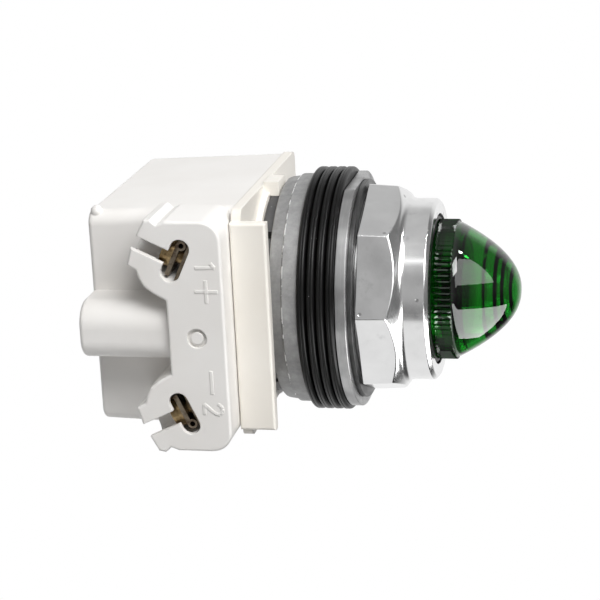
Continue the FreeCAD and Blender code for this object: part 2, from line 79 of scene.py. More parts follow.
def linear(code):
    """sRGB hex to linear light: ((c + 0.055) / 1.055) to the power 2.4, c / 12.92 near black."""
    c = np.array([int(code[i:i + 2], 16) for i in (1, 3, 5)]) / 255
    return np.where(c > 0.04045, ((c + 0.055) / 1.055) ** 2.4, c / 12.92).tolist() + [1.0]


def features(size):
    """Texture scale that gives features of a size in millimetres."""
    return 1 / (size * MM)


def add(tree, kind, inputs, stops=(), **settings):
    """Adds a node with its settings, input values or links, and ramp stops."""
    made = tree.nodes.new(kind)
    for key, value in settings.items():
        setattr(made, key, value)
    for key, value in inputs.items():
        if isinstance(value, bpy.types.NodeSocket):
            tree.links.new(value, made.inputs[key])
        else:
            made.inputs[key].default_value = value
    for spare in stops[2:]:
        made.color_ramp.elements.new(1.0)
    for element, (position, shade) in zip(made.color_ramp.elements if stops else (), stops):
        element.position = position
        element.color = linear(shade) if isinstance(shade, str) else (shade, shade, shade, 1)
    return made.outputs


def blank_material(name):
    """New material with an empty node tree."""
    material = bpy.data.materials.new(name)
    material.use_nodes = True
    material.node_tree.nodes.clear()
    return material, material.node_tree


def dress(node_names, material):
    """Puts a material on solids that are carried over as they are."""
    for name in node_names:
        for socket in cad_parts[name].material_slots:
            socket.material = material


def moulded_polycarbonate(name, light, shade, roughness):
    """Satin moulding: shade drifts over 16 mm, flow marks 6 mm apart, 0.4 mm grain.

    The mould's edges are never quite sharp, so light turns over them within 0.25 mm.
    """
    material, tree = blank_material(name)
    place = add(tree, "ShaderNodeTexCoord", {})["Object"]
    drift = add(tree, "ShaderNodeTexNoise",
                {"Vector": place, "Scale": features(16), "Detail": 3})[0]
    colour = add(tree, "ShaderNodeValToRGB", {0: drift}, [(0.3, shade), (0.7, light)])[0]
    gloss = add(tree, "ShaderNodeMapRange",
                {0: drift, 1: 0.3, 2: 0.7, 3: roughness, 4: roughness + 0.08})[0]
    grain = add(tree, "ShaderNodeTexNoise", {"Vector": place, "Scale": features(0.4)})[0]
    stretched = add(tree, "ShaderNodeMapping", {"Vector": place, "Scale": (0.4, 1, 1)})[0]
    flow = add(tree, "ShaderNodeTexNoise", {"Vector": stretched, "Scale": features(6)})[0]
    edge = add(tree, "ShaderNodeBevel", {"Radius": 0.25 * MM}, samples=6)[0]
    fine = add(tree, "ShaderNodeBump",
               {"Height": grain, "Distance": 0.004 * MM, "Normal": edge})[0]
    slow = add(tree, "ShaderNodeBump", {"Height": flow, "Distance": 0.03 * MM, "Normal": fine})[0]
    shader = add(tree, "ShaderNodeBsdfPrincipled",
                 {"Base Color": colour, "Roughness": gloss, "Normal": slow, "IOR": 1.58})
    add(tree, "ShaderNodeOutputMaterial", {"Surface": shader[0]})
    return material


white_polycarbonate = moulded_polycarbonate("white_polycarbonate", "#F3F1EE", "#ECE9E5", 0.38)
dress(["module_housing"], white_polycarbonate)

# Front plate: a second moulding, in a slightly creamier polycarbonate, that snaps
# on the housing and carries the rail, the neck boss and the locating lug.
ivory_polycarbonate = moulded_polycarbonate("ivory_polycarbonate", "#F3EFE7", "#EDE8DF", 0.36)
dress(["module_front_plate"], ivory_polycarbonate)


# Terminal marks: plus, minus and plain numbers, moulded on the block in low
# relief. They read from the green lens, so their tops point towards it.
BLOCK_FACE = -31.0
MARK_X = -19.6
MARK_STROKE = 0.62
MARK_RISE = 0.09
MARK_SUNK = 0.04
MARK_BEVEL = 0.03
MARK_SLOPE = 0.06
MARK_DROP = 0.003
MERGE = 0.0002


def build(name, verts, faces, material, body, stands_for, slot, sharp, even):
    """One object from points in millimetres, smooth up to an angle between its faces.

    Points within MERGE of each other become one, which closes seams and poles. Where
    even is true, large faces count for more in the shading, so flat ones look flat.
    """
    mesh = bpy.data.meshes.new(name)
    mesh.from_pydata((np.asarray(verts) * MM).tolist(), [], np.asarray(faces).tolist())
    work = bmesh.new()
    work.from_mesh(mesh)
    bmesh.ops.remove_doubles(work, verts=work.verts, dist=MERGE * MM)
    bmesh.ops.recalc_face_normals(work, faces=work.faces)
    work.to_mesh(mesh)
    work.free()
    mesh.polygons.foreach_set("use_smooth", np.ones(len(mesh.polygons), bool))
    mesh.set_sharp_from_angle(angle=math.radians(sharp))
    mesh.materials.append(material)
    made = bpy.data.objects.new(name, mesh)
    bpy.context.scene.collection.objects.link(made)
    if even:
        normals = made.modifiers.new("normals", "WEIGHTED_NORMAL")
        normals.keep_sharp = True
    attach(made, body)
    if stands_for:
        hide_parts(*stands_for)


def stroke(start, end, centre_z, rise):
    """Low bar from start to end, a box whose top edges are bevelled in by MARK_SLOPE.

    Its foot lies MARK_SUNK inside the block and its top a rise outside it. In start
    and end the first number runs down the block, the second to the lens.
    """
    start, end = np.array(start, float), np.array(end, float)
    along = (end - start) / np.linalg.norm(end - start)
    across = np.array([-along[1], along[0]])
    corner = np.array([(-1, -1), (-1, 1), (1, 1), (1, -1)])
    anchor = np.where(corner[:, :1] < 0, start, end)
    grow = np.array([0.0, 0.0, -MARK_SLOPE])[:, None, None]
    flat = anchor + corner[:, :1] * grow * along + corner[:, 1:] * (
        MARK_STROKE / 2 + grow) * across
    level = BLOCK_FACE + np.array([MARK_SUNK, MARK_BEVEL - rise, -rise])
    y = level[:, None] + np.zeros((3, 4))
    verts = np.stack([MARK_X + flat[..., 1], y, centre_z - flat[..., 0]], axis=-1)
    side = np.arange(4)
    turn = (side + 1) % 4
    walls = np.stack([side, turn, turn + 4, side + 4], axis=1)
    faces = np.concatenate([walls, walls + 4, [[0, 1, 2, 3], [8, 9, 10, 11]]])
    return verts.reshape(-1, 3), faces


PLUS = [((-2.0, 0), (2.0, 0)), ((0, -2.0), (0, 2.0))]
MINUS = [((-2.1, 0), (2.1, 0))]
ONE = [((0, -1.7), (0, 1.7)), ((0, 1.7), (-0.8, 1.0))]
TWO_BENDS = [(0.95, -1.55), (-1.0, -1.55), (0.55, 0.1), (0.9, 0.7), (0.85, 1.2), (0.4, 1.6),
             (-0.2, 1.65), (-0.75, 1.35), (-0.95, 0.85)]
TWO = list(zip(TWO_BENDS, TWO_BENDS[1:]))
MARKS = [(PLUS, 8.25), (MINUS, -7.8), (ONE, 12.4), (TWO, -12.6)]
mark_verts, mark_faces, count = [], [], 0
for strokes, centre_z in MARKS:
    for k, (start, end) in enumerate(strokes):
        # Each stroke rises a little less than the one before, so no two tops coincide
        verts, faces = stroke(start, end, centre_z, MARK_RISE - MARK_DROP * k)
        mark_verts.append(verts)
        mark_faces.append(faces + count)
        count += len(verts)
build("terminal_marks", np.concatenate(mark_verts), np.concatenate(mark_faces),
      white_polycarbonate, "fixed_parts", (), "white_moulding", 30, True)


# Terminals: strips and clamping saddles pressed from nickel-plated brass, with
# slotted brass screws. The strips and saddles are drawn in a darker, browner nickel
# than the lamp socket's shell.

def worn_metal(name, light, dark, roughness, size):
    """Bare or plated metal: bright marks of a size in millimetres, stained in between."""
    material, tree = blank_material(name)
    place = add(tree, "ShaderNodeTexCoord", {})["Object"]
    marks = add(tree, "ShaderNodeTexNoise",
                {"Vector": place, "Scale": features(size), "Detail": 4, "Roughness": 0.65})[0]
    colour = add(tree, "ShaderNodeValToRGB", {0: marks}, [(0.35, dark), (0.65, light)])[0]
    gloss = add(tree, "ShaderNodeMapRange",
                {0: marks, 1: 0.35, 2: 0.65, 3: roughness + 0.12, 4: roughness})[0]
    fine = add(tree, "ShaderNodeBump", {"Height": marks, "Distance": 0.006 * MM})[0]
    shader = add(tree, "ShaderNodeBsdfPrincipled",
                 {"Base Color": colour, "Roughness": gloss, "Normal": fine, "Metallic": 1.0})
    add(tree, "ShaderNodeOutputMaterial", {"Surface": shader[0]})
    return material


# A darker, browner copy of the nickel plating, put on the strips and saddles down in the slots
dark_brown_nickel = worn_metal("dark_brown_nickel", "#9A8F7E", "#54473A", 0.32, 1.6)
brass = worn_metal("brass", "#A8926C", "#5E4C34", 0.32, 1.2)
dress(["terminal_strip_1", "terminal_strip_2", "clamp_saddle_1", "clamp_saddle_2"],
      dark_brown_nickel)
dress(["terminal_screw_1", "terminal_screw_2"], brass)


# Circuit board: brown phenolic paper laminate, with a black moulded rectifier and
# two lacquered resistors. All three are dull solids with a fine grain.

def grained_solid(name, light, dark, roughness, size):
    """Dull solid: mottling of a size in millimetres under a 0.5 mm grain."""
    material, tree = blank_material(name)
    place = add(tree, "ShaderNodeTexCoord", {})["Object"]
    mottle = add(tree, "ShaderNodeTexNoise",
                 {"Vector": place, "Scale": features(size), "Detail": 3})[0]
    colour = add(tree, "ShaderNodeValToRGB", {0: mottle}, [(0.35, dark), (0.7, light)])[0]
    gloss = add(tree, "ShaderNodeMapRange",
                {0: mottle, 1: 0.35, 2: 0.7, 3: roughness, 4: roughness + 0.1})[0]
    grain = add(tree, "ShaderNodeTexNoise", {"Vector": place, "Scale": features(0.5)})[0]
    fine = add(tree, "ShaderNodeBump", {"Height": grain, "Distance": 0.008 * MM})[0]
    shader = add(tree, "ShaderNodeBsdfPrincipled",
                 {"Base Color": colour, "Roughness": gloss, "Normal": fine})
    add(tree, "ShaderNodeOutputMaterial", {"Surface": shader[0]})
    return material


laminate = grained_solid("paper_laminate", "#82694A", "#6C5539", 0.35, 3.0)
black_phenolic = grained_solid("black_phenolic", "#343434", "#222222", 0.42, 2.5)
lacquer = grained_solid("brown_lacquer", "#B18D6B", "#A37E5D", 0.38, 2.0)
dress(["circuit_board"], laminate)
dress(["rectifier"], black_phenolic)
dress(["resistor_1", "resistor_2"], lacquer)


# Lamp and socket: a phenolic insulator, a nickel-plated bayonet shell, a brass
# plunger on a steel spring, and a bayonet lamp with a blown glass bulb.

def blown_glass(name, clear, film, roughness):
    """Clear glass with a thin film that dulls it in patches 5 mm across."""
    material, tree = blank_material(name)
    place = add(tree, "ShaderNodeTexCoord", {})["Object"]
    patches = add(tree, "ShaderNodeTexNoise", {"Vector": place, "Scale": features(5)})[0]
    colour = add(tree, "ShaderNodeValToRGB", {0: patches}, [(0.3, film), (0.7, clear)])[0]
    gloss = add(tree, "ShaderNodeMapRange", {0: patches, 1: 0.4, 2: 0.9, 3: 0.0, 4: roughness})[0]
    shader = add(tree, "ShaderNodeBsdfPrincipled",
                 {"Base Color": colour, "Roughness": gloss, "IOR": 1.46,
                  "Transmission Weight": 1.0})
    add(tree, "ShaderNodeOutputMaterial", {"Surface": shader[0]})
    return material


bright_nickel = worn_metal("nickel_plate", "#D3D2CE", "#B6B4AE", 0.26, 1.6)
dress(["socket_insulator"], black_phenolic)
dress(["socket_shell", "lamp_base"], bright_nickel)
dress(["contact_plunger"], brass)
dress(["contact_spring"], worn_metal("spring_steel", "#C4C4C4", "#A8A8A8", 0.28, 1.0))
dress(["lamp_bulb"], blown_glass("lamp_glass", "#FCFCFC", "#F6F8F7", 0.05))


# Mounting screws: two steel screws that hold the module to the operator from behind.
# Their thin zinc plating is slightly blue-grey and dull.
dress(["mounting_screw_1", "mounting_screw_2"],
      worn_metal("zinc_plated_steel", "#CCCDCE", "#B3B4B6", 0.30, 1.6))


# Operator: one zinc die casting, a round neck with two slots, a flange with the
# mould's parting line round it, a threaded barrel and a stepped bore. Cast zinc
# is dull and mottled, with fine pits, and the parting line is rubbed bright.
GASKETS = 4
GASKET = 1.65
FLANGE_FRONT = -GASKETS * GASKET
PARTING = FLANGE_FRONT - 2.7
FLANGE_REAR = FLANGE_FRONT - 5.2
FLANGE_RADIUS = 20.6
NECK_REAR = FLANGE_REAR - 2.1
NECK_RADIUS = 18.8
NECK_CHAMFER = 0.4
SLOT_WIDTH = 1.4
SLOT_FLOOR = NECK_RADIUS - 2.2
SLOT_HALF = math.asin(SLOT_WIDTH / 2 / NECK_RADIUS)
SLOT_ANGLES = np.radians([135.0, 225.0])
REAR_INSET = 0.65
PARTING_INSET = 0.32
BARREL = 14.9
BARREL_REACH = 13.1
BARREL_CHAMFER = 0.5
BORE = 11.35
BORE_FLOOR = 3.1
SOCKET_BORE = 8.6
THREAD_PITCH = 1.5
THREAD_DEPTH = 0.62
THREAD_POWER = 1.3
THREAD_FIRST = FLANGE_FRONT + 0.01
THREAD_LAST = BARREL_REACH - 0.4
THREAD_STEPS = 110
CASTING_STEPS = 288


def eased(points, steps=4):
    """Closed outline (x, r) with each corner eased by a quadratic curve.

    A third number per point is its cut: the curve leaves the side before the
    corner P at A and joins the side after it at B, each the cut or 0.45 of the
    side away, whichever is less, along (1-t)^2 A + 2t(1-t) P + t^2 B.
    """
    table = np.array(points, float)
    corner, cut = table[:, :2], table[:, 2:]
    before = np.roll(corner, 1, axis=0) - corner
    after = np.roll(corner, -1, axis=0) - corner
    share_a = np.minimum(cut / np.linalg.norm(before, axis=1, keepdims=True), 0.45)
    share_b = np.minimum(cut / np.linalg.norm(after, axis=1, keepdims=True), 0.45)
    a, b = corner + before * share_a, corner + after * share_b
    t = np.linspace(0, 1, steps)[:, None, None]
    curves = (1 - t) ** 2 * a + 2 * t * (1 - t) * corner + t ** 2 * b
    return curves.transpose(1, 0, 2).reshape(-1, 2)


def turns(count, exact=()):
    """Angles evenly round a full turn, with some exact ones in place of their neighbours."""
    spacing = 2 * math.pi / count
    exact = np.sort(np.asarray(exact, float) % (2 * math.pi))
    even = np.arange(count) * spacing
    if len(exact):
        gap = np.abs((even[:, None] - exact + math.pi) % (2 * math.pi) - math.pi)
        even = even[gap.min(axis=1) > 0.3 * spacing]
    return np.sort(np.concatenate([even, exact]))


def ringed(x, r, angle, closed=True):
    """Points (x, r cos a, r sin a) of rings round the axis, with quads between them."""
    x, r, angle = np.broadcast_arrays(x, r, angle)
    verts = np.stack([x, r * np.cos(angle), r * np.sin(angle)], axis=-1).reshape(-1, 3)
    rings, count = x.shape
    i = np.arange(rings if closed else rings - 1)[:, None]
    j = np.arange(count)
    k = (j + 1) % count
    i_next = (i + 1) % rings
    faces = np.stack([i * count + j, i * count + k, i_next * count + k, i_next * count + j],
                     axis=-1)
    return verts, faces.reshape(-1, 4)


def specks(tree, place, size, fade, share):
    """Mask of round specks in a share of cells that are a size in millimetres apart.

    A speck is full to the first distance in fade from its middle, and gone at the second.
    """
    cells = add(tree, "ShaderNodeTexVoronoi", {"Vector": place, "Scale": features(size)})
    near = add(tree, "ShaderNodeMapRange",
               {0: cells["Distance"], 1: fade[0], 2: fade[1], 3: 1.0, 4: 0.0})[0]
    picked = add(tree, "ShaderNodeSeparateColor", {0: cells["Color"]})[0]
    few = add(tree, "ShaderNodeMath", {0: picked, 1: share}, operation="LESS_THAN")[0]
    return add(tree, "ShaderNodeMath", {0: near, 1: few}, operation="MULTIPLY")[0]


def cast_zinc():
    """Mottling 2.4 mm across, pits 0.7 mm apart, bright nicks, and the parting line.

    The neck behind the flange is painted dark grey: painted shade for the shadow it lies in between
    plate and flange.
    """
    material, tree = blank_material("cast_zinc")
    place = add(tree, "ShaderNodeTexCoord", {})["Object"]
    mottle = add(tree, "ShaderNodeTexNoise",
                 {"Vector": place, "Scale": features(2.4), "Detail": 5, "Roughness": 0.7})[0]
    colour = add(tree, "ShaderNodeValToRGB", {0: mottle},
                 [(0.3, "#8E8E8E"), (0.55, "#9E9E9E"), (0.75, "#AEAEAE")])[0]
    nicks = specks(tree, place, 1.3, (0.08, 0.14), 0.06)
    nicked = add(tree, "ShaderNodeMix", {0: nicks, 6: colour, 7: linear("#F0F0F0")},
                 data_type="RGBA")[2]
    station = add(tree, "ShaderNodeSeparateXYZ", {0: place})[0]
    # Painted shade: behind the flange the colour goes 0.8 of the way to dark grey #3C3C3E, for the
    # shadow between plate and flange
    neck = add(tree, "ShaderNodeMath", {0: station, 1: FLANGE_REAR * MM},
               operation="LESS_THAN")[0]
    part = add(tree, "ShaderNodeMath", {0: neck, 1: 0.8}, operation="MULTIPLY")[0]
    neck_shade_painted = add(tree, "ShaderNodeMix", {0: part, 6: nicked, 7: linear("#3C3C3E")},
                  data_type="RGBA")[2]
    line = add(tree, "ShaderNodeMath", {0: station, 1: PARTING * MM, 2: 0.14 * MM},
               operation="COMPARE")[0]
    rubbed = add(tree, "ShaderNodeTexNoise",
                 {"Vector": place, "Scale": features(1.9), "Detail": 3})[0]
    worn = add(tree, "ShaderNodeMath", {0: rubbed, 1: 0.52}, operation="GREATER_THAN")[0]
    bright = add(tree, "ShaderNodeMath", {0: line, 1: worn}, operation="MULTIPLY")[0]
    lined = add(tree, "ShaderNodeMix", {0: bright, 6: neck_shade_painted, 7: linear("#F4F4F4")},
                data_type="RGBA")[2]
    gloss = add(tree, "ShaderNodeMapRange", {0: mottle, 1: 0.3, 2: 0.7, 3: 0.62, 4: 0.50})[0]
    pits = add(tree, "ShaderNodeTexNoise",
               {"Vector": place, "Scale": features(0.7), "Detail": 4, "Roughness": 0.7})[0]
    swell = add(tree, "ShaderNodeTexNoise", {"Vector": place, "Scale": features(3.3)})[0]
    fine = add(tree, "ShaderNodeBump", {"Height": pits, "Distance": 0.02 * MM})[0]
    slow = add(tree, "ShaderNodeBump", {"Height": swell, "Distance": 0.05 * MM, "Normal": fine})[0]
    shader = add(tree, "ShaderNodeBsdfPrincipled",
                 {"Base Color": lined, "Roughness": gloss, "Normal": slow, "Metallic": 0.5})
    add(tree, "ShaderNodeOutputMaterial", {"Surface": shader[0]})
    return material


slot_edges = (SLOT_ANGLES[:, None] + SLOT_HALF * np.array([-1, -0.9, 0.9, 1])).ravel()
casting_turn = turns(CASTING_STEPS, slot_edges)
neck_and_flange = eased([
    (BORE_FLOOR, BORE, 0.1), (BORE_FLOOR, SOCKET_BORE, 0.1), (NECK_REAR, SOCKET_BORE, 0.2),
    (NECK_REAR, NECK_RADIUS - NECK_CHAMFER, 0.15), (NECK_REAR + NECK_CHAMFER, NECK_RADIUS, 0.15),
    (FLANGE_REAR, NECK_RADIUS, 0.005), (FLANGE_REAR, FLANGE_RADIUS - REAR_INSET, 0.5),
    (PARTING - 0.07, FLANGE_RADIUS - PARTING_INSET, 0.08), (PARTING, FLANGE_RADIUS - 0.02, 0.06),
    (PARTING + 0.12, FLANGE_RADIUS, 0.06), (FLANGE_FRONT, FLANGE_RADIUS, 0.35),
    (FLANGE_FRONT, BARREL, 0.005), (BARREL_REACH, BARREL - BARREL_CHAMFER, 0.2),
    (BARREL_REACH, BORE, 0.3)])
# The barrel's stations come after the four points of the corner between flange and barrel
from_root = neck_and_flange - np.array([FLANGE_FRONT, BARREL])
root = int(np.argmax(np.hypot(from_root[:, 0], from_root[:, 1]) < 0.02)) + 4
thread_x = np.linspace(THREAD_FIRST, THREAD_LAST, THREAD_STEPS)
barrel = np.stack([thread_x, np.full_like(thread_x, BARREL)], axis=1)
outline = np.concatenate([neck_and_flange[:root], barrel, neck_and_flange[root:]])
x, r = outline[:, :1], outline[:, 1:] + np.zeros(len(casting_turn))
# The thread dips from its crest by a power of the distance from the crest's helix
phase = ((x - FLANGE_FRONT) / THREAD_PITCH + casting_turn / (2 * math.pi)) % 1.0
threaded = (x > FLANGE_FRONT) & (x < THREAD_LAST + 0.1) & (r > BARREL - 0.6)
r = np.where(threaded, r - THREAD_DEPTH * np.abs(2 * phase - 1) ** THREAD_POWER, r)
off_slot = np.abs((casting_turn[:, None] - SLOT_ANGLES + math.pi) % (2 * math.pi) - math.pi)
in_slot = off_slot.min(axis=1) < SLOT_HALF * 0.95
r = np.where(in_slot & (x < FLANGE_REAR + 0.001) & (r > SLOT_FLOOR) & (r < NECK_RADIUS + 0.1),
             SLOT_FLOOR, r)
build("operator_casting", *ringed(x, r, casting_turn), cast_zinc(), "fixed_parts",
      ["operator_body"], "cast_zinc", 28, True)


# Gaskets: four rings moulded in black synthetic rubber, rounded over their rims and
# split by a fine mould line. Such rubber is nearly black and gives a soft highlight.
GASKET_RADIUS = 21.85
GASKET_GAP = 0.03
RIM_START = 0.95
RIM_SHOULDER = 0.45
CROWN_HALF = 0.42
SPLIT_HALF = 0.09
SPLIT_DEPTH = 0.12
RING_HOLE = BARREL + 0.3
RING_STEPS = 240


def black_rubber():
    """Near-black rubber: bloom in patches 5 mm across, dust specks 0.7 mm apart."""
    material, tree = blank_material("black_rubber")
    place = add(tree, "ShaderNodeTexCoord", {})["Object"]
    bloom = add(tree, "ShaderNodeTexNoise",
                {"Vector": place, "Scale": features(5), "Detail": 4, "Roughness": 0.6})[0]
    colour = add(tree, "ShaderNodeValToRGB", {0: bloom}, [(0.35, "#050505"), (0.7, "#0E0E0E")])[0]
    dust = specks(tree, place, 0.7, (0.08, 0.14), 0.05)
    dusted = add(tree, "ShaderNodeMix", {0: dust, 6: colour, 7: linear("#8A8A8A")},
                 data_type="RGBA")[2]
    gloss = add(tree, "ShaderNodeMapRange", {0: bloom, 1: 0.3, 2: 0.7, 3: 0.30, 4: 0.42})[0]
    grain = add(tree, "ShaderNodeTexNoise", {"Vector": place, "Scale": features(0.9)})[0]
    fine = add(tree, "ShaderNodeBump", {"Height": grain, "Distance": 0.01 * MM})[0]
    shader = add(tree, "ShaderNodeBsdfPrincipled",
                 {"Base Color": dusted, "Roughness": gloss, "Normal": fine, "IOR": 1.5,
                  "Specular IOR Level": 0.24})
    add(tree, "ShaderNodeOutputMaterial", {"Surface": shader[0]})
    return material


rubber = black_rubber()
even_turn = turns(RING_STEPS)
for k in range(GASKETS):
    x0 = FLANGE_FRONT + k * GASKET + GASKET_GAP / 2
    x1 = x0 + GASKET - GASKET_GAP
    mid = (x0 + x1) / 2
    outline = eased([
        (x0, RING_HOLE, 0.1), (x0, GASKET_RADIUS - RIM_START, 0.2),
        (x0 + 0.05, GASKET_RADIUS - RIM_SHOULDER, 0.2), (mid - CROWN_HALF, GASKET_RADIUS, 0.3),
        (mid - SPLIT_HALF, GASKET_RADIUS - 0.02, 0.03), (mid, GASKET_RADIUS - SPLIT_DEPTH, 0.03),
        (mid + SPLIT_HALF, GASKET_RADIUS - 0.02, 0.03), (mid + CROWN_HALF, GASKET_RADIUS, 0.3),
        (x1 - 0.05, GASKET_RADIUS - RIM_SHOULDER, 0.2), (x1, GASKET_RADIUS - RIM_START, 0.2),
        (x1, RING_HOLE, 0.1)])
    build("gasket_%d" % (k + 1), *ringed(outline[:, :1], outline[:, 1:], even_turn), rubber,
          "fixed_parts", ["panel_gasket_%d" % (k + 1)], "black_rubber", 60, True)


# Washers: a trim washer turned from rolled zinc plate, with a flat on top and a
# short key flat on the near side, and a thinner, darker steel thrust washer.
# Both show fine streaks that run round the ring.
TRIM = 1.9
TRIM_RADIUS = 21.2
TRIM_FLATS = np.radians([[90.0, 20.0], [174.0, 9.0]])
THRUST_RADIUS = 19.6
NUT_REAR = 2.7
FACE_GAP = 0.01
ARC_RADIUS = 20


def round_the_axis(tree, place):
    """Coordinates (x, radius, angle times ARC_RADIUS) for marks that run round a piece."""
    split = add(tree, "ShaderNodeSeparateXYZ", {0: place})
    angle = add(tree, "ShaderNodeMath", {0: split[2], 1: split[1]}, operation="ARCTAN2")[0]
    arc = add(tree, "ShaderNodeMath", {0: angle, 1: ARC_RADIUS * MM}, operation="MULTIPLY")[0]
    across = add(tree, "ShaderNodeCombineXYZ", {1: split[1], 2: split[2]})[0]
    radius = add(tree, "ShaderNodeVectorMath", {0: across}, operation="LENGTH")[1]
    return add(tree, "ShaderNodeCombineXYZ", {0: split[0], 1: radius, 2: arc})[0]


def rolled_plate(name, light, dark, roughness):
    """Streaks 0.2 mm wide and 8 mm long round the ring, clouds 4 mm across."""
    material, tree = blank_material(name)
    place = add(tree, "ShaderNodeTexCoord", {})["Object"]
    along = add(tree, "ShaderNodeMapping",
                {"Vector": round_the_axis(tree, place),
                 "Scale": (features(0.2), features(0.2), features(8))})[0]
    streak = add(tree, "ShaderNodeTexNoise",
                 {"Vector": along, "Scale": 1.0, "Detail": 4, "Roughness": 0.65})[0]
    cloud = add(tree, "ShaderNodeTexNoise", {"Vector": place, "Scale": features(4)})[0]
    both = add(tree, "ShaderNodeMath", {0: streak, 1: 0.5, 2: cloud}, operation="MULTIPLY_ADD")[0]
    colour = add(tree, "ShaderNodeValToRGB", {0: both}, [(0.58, dark), (0.92, light)])[0]
    gloss = add(tree, "ShaderNodeMapRange",
                {0: both, 1: 0.58, 2: 0.92, 3: roughness + 0.08, 4: roughness})[0]
    fine = add(tree, "ShaderNodeBump", {"Height": streak, "Distance": 0.006 * MM})[0]
    shader = add(tree, "ShaderNodeBsdfPrincipled",
                 {"Base Color": colour, "Roughness": gloss, "Normal": fine, "Metallic": 1.0})
    add(tree, "ShaderNodeOutputMaterial", {"Surface": shader[0]})
    return material


flat_ends = (TRIM_FLATS[:, :1] + TRIM_FLATS[:, 1:] * np.array([-1, 1])).ravel()
trim_turn = turns(RING_STEPS, flat_ends)
outline = eased([(FACE_GAP, RING_HOLE, 0.1), (FACE_GAP, TRIM_RADIUS, 0.22),
                 (TRIM - FACE_GAP, TRIM_RADIUS, 0.22), (TRIM - FACE_GAP, RING_HOLE, 0.1)])
x, r = outline[:, :1], outline[:, 1:] + np.zeros(len(trim_turn))
# A flat's chord lies at radius * cos(half angle) from the axis, over cos(angle off its middle)
off = (trim_turn - TRIM_FLATS[:, :1] + math.pi) % (2 * math.pi) - math.pi
chord = TRIM_RADIUS * np.cos(TRIM_FLATS[:, 1:]) / np.cos(off)
limit = np.where(np.abs(off) < TRIM_FLATS[:, 1:], chord, TRIM_RADIUS).min(axis=0)
rim = r > (RING_HOLE + TRIM_RADIUS) / 2
r = np.where(rim, limit - (TRIM_RADIUS - r), r)
build("trim_ring", *ringed(x, r, trim_turn),
      rolled_plate("rolled_zinc", "#B2B2B2", "#969696", 0.36), "panel_clamp",
      ["trim_washer"], "light_washer", 30, True)
thrust_front = NUT_REAR - FACE_GAP
outline = eased([(TRIM, RING_HOLE, 0.12), (TRIM, THRUST_RADIUS, 0.12),
                 (thrust_front, THRUST_RADIUS, 0.12), (thrust_front, RING_HOLE, 0.12)])
build("thrust_ring", *ringed(outline[:, :1], outline[:, 1:], even_turn),
      rolled_plate("rolled_steel", "#5E5E5E", "#464646", 0.34), "panel_clamp",
      ["thrust_washer"], "dark_washer", 30, True)


# Ring nut: a zinc die casting with bright chrome plating. The octagon has rounded
# corners and is cut by a cone, which runs in through a hollow to a round collar.
# The plating is softly mirrored, with a few pits and stains.
NUT_BORE = 14.98
NUT_LIP = 13.3
NUT_FRONT = 15.3
NUT_OPENING = 13.45
NUT_STEP = 0.4
NUT_STEP_RADIUS = 17.38
CORNER_REAR = 19.26
CORNER_DRAFT = 0.33
CORNER_ROUND = 0.9
FLAT_LENGTH = 5.3
CONE_LENGTH = 1.6
CONE_ROOT = 16.9
COLLAR_START = 10.3
COLLAR = 16.2
COLLAR_BEVEL = 0.6
HOLLOW_REACH = 0.9
CONE_EDGE = 0.22
REAR_EDGE = 0.3
MOUTH_EDGE = 0.15
SMALL_EDGE = 0.09
NUT_THREAD = 0.35
NUT_THREAD_STEPS = 61
NUT_STEPS = 264


def octagon(turn):
    """Radius of an octagon with corners at 1, rounded by CORNER_ROUND, and its tangent angle.

    Away from a corner it is the flat, cos(22.5) / cos(angle off the flat's middle).
    Within the tangent angle it is a circle about a point back along the corner.
    """
    half = math.pi / 8
    small = CORNER_ROUND / CORNER_REAR
    centre = (math.cos(half) - small) / math.cos(half)
    touch = math.atan2(small * math.sin(half), centre + small * math.cos(half))
    off = (turn - math.pi / 2 + half) % (math.pi / 4) - half
    flat = math.cos(half) / np.cos(half - np.abs(off))
    arc = centre * np.cos(off) + np.sqrt(np.maximum(small ** 2 - (centre * np.sin(off)) ** 2, 0))
    return np.where(np.abs(off) < touch, arc, flat), touch


def bend(a, b, d, steps=4):
    """Rings (x, r) along the quadratic curve from a past the corner b to d."""
    t = np.linspace(0, 1, steps)[:, None]
    rings = []
    for axis in (0, 1):
        rings.append((1 - t) ** 2 * a[axis] + 2 * t * (1 - t) * b[axis] + t ** 2 * d[axis])
    return np.broadcast_arrays(rings[0], rings[1], np.zeros(len(nut_turn)))[:2]


